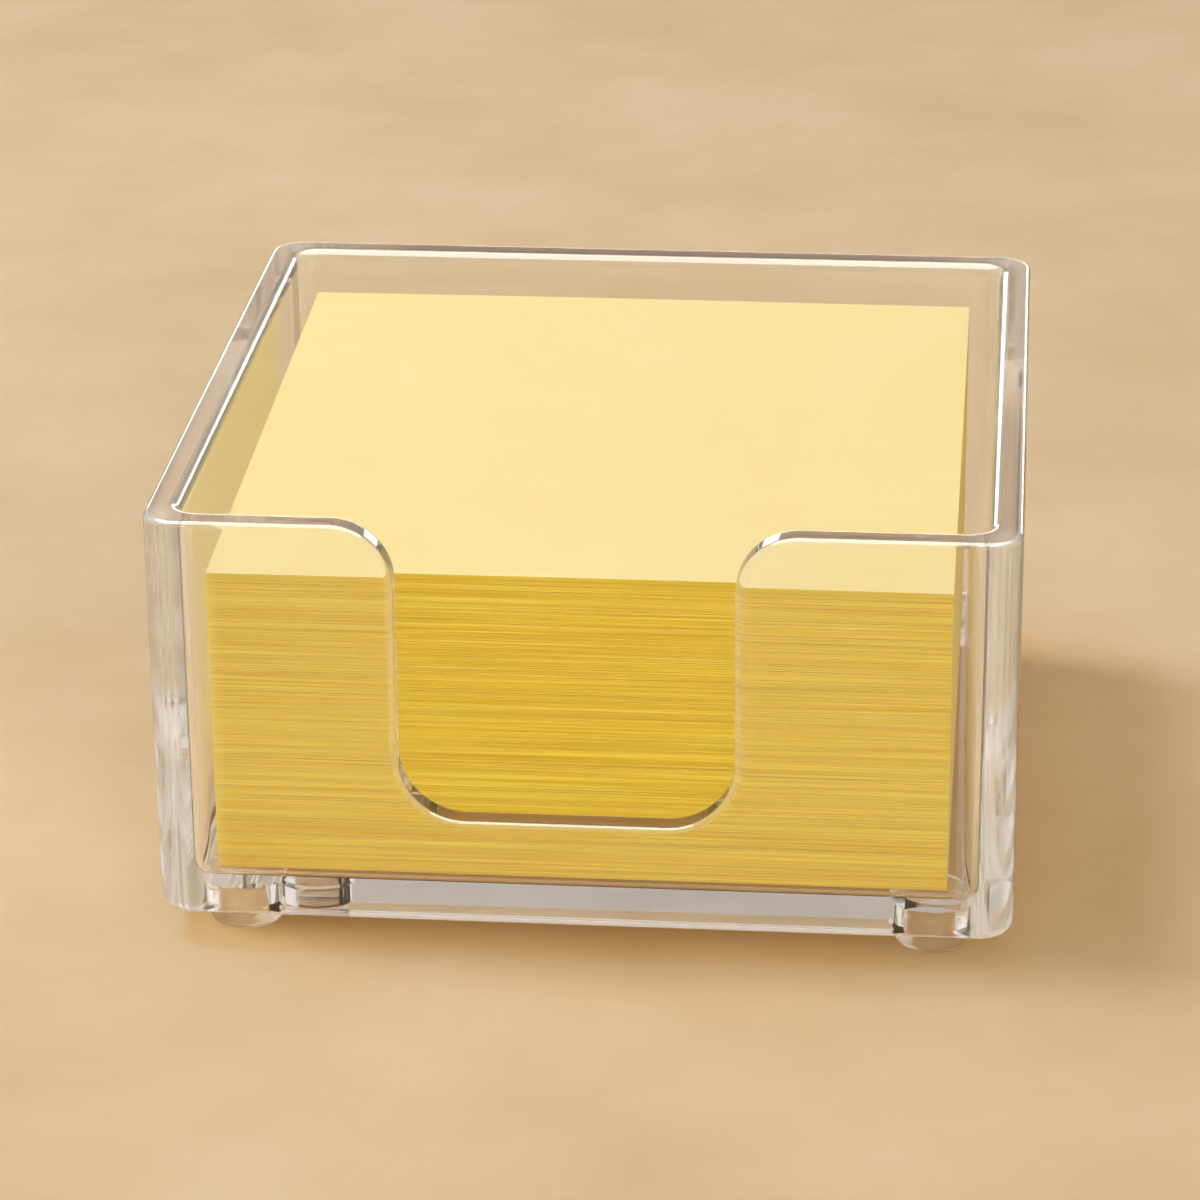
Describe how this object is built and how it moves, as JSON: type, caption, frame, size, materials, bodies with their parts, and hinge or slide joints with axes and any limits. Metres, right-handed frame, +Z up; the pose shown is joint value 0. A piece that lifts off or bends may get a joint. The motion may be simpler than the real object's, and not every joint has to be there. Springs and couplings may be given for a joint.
{
  "type": "note holder",
  "caption": "Clear square open-topped note holder with a finger notch in its front wall, on four rounded feet, filled with pads of square yellow notes.",
  "frame": {"origin": "on the standing surface, under the middle of the holder", "axes": "+Z up, -Y towards the front wall with the finger notch, +X to the right seen from the front"},
  "size_m": [0.089, 0.089, 0.0474],
  "materials": {
    "clear_acrylic": "polished, water-clear",
    "clear_rubber": "smooth, clear",
    "clear_adhesive": "clear film",
    "yellow_paper": "uncoated, matt"
  },
  "bodies": {
    "holder": {"holder_body": "clear_acrylic", "foot_front_left": "clear_rubber", "foot_front_right": "clear_rubber", "foot_rear_left": "clear_rubber", "foot_rear_right": "clear_rubber", "foot_adhesive_front_left": "clear_adhesive", "foot_adhesive_front_right": "clear_adhesive", "foot_adhesive_rear_left": "clear_adhesive", "foot_adhesive_rear_right": "clear_adhesive"},
    "lower_notes": {"lower_pad": "yellow_paper"},
    "middle_notes": {"middle_pad": "yellow_paper"},
    "upper_notes": {"upper_pad": "yellow_paper"},
    "part_used_notes": {"part_used_pad": "yellow_paper"},
    "single_note": {"top_note": "yellow_paper"}
  },
  "joints": [
    {"name": "lower_pad_lift", "type": "slide", "parent": "holder", "child": "lower_notes", "axis": [0, 0, 1], "range_m": [0, 0.046]},
    {"name": "middle_pad_lift", "type": "slide", "parent": "lower_notes", "child": "middle_notes", "axis": [0, 0, 1], "range_m": [0, 0.036]},
    {"name": "upper_pad_lift", "type": "slide", "parent": "middle_notes", "child": "upper_notes", "axis": [0, 0, 1], "range_m": [0, 0.026]},
    {"name": "part_used_pad_lift", "type": "slide", "parent": "upper_notes", "child": "part_used_notes", "axis": [0, 0, 1], "range_m": [0, 0.016]},
    {"name": "top_note_lift", "type": "slide", "parent": "part_used_notes", "child": "single_note", "axis": [0, 0, 1], "range_m": [0, 0.014]}
  ]
}
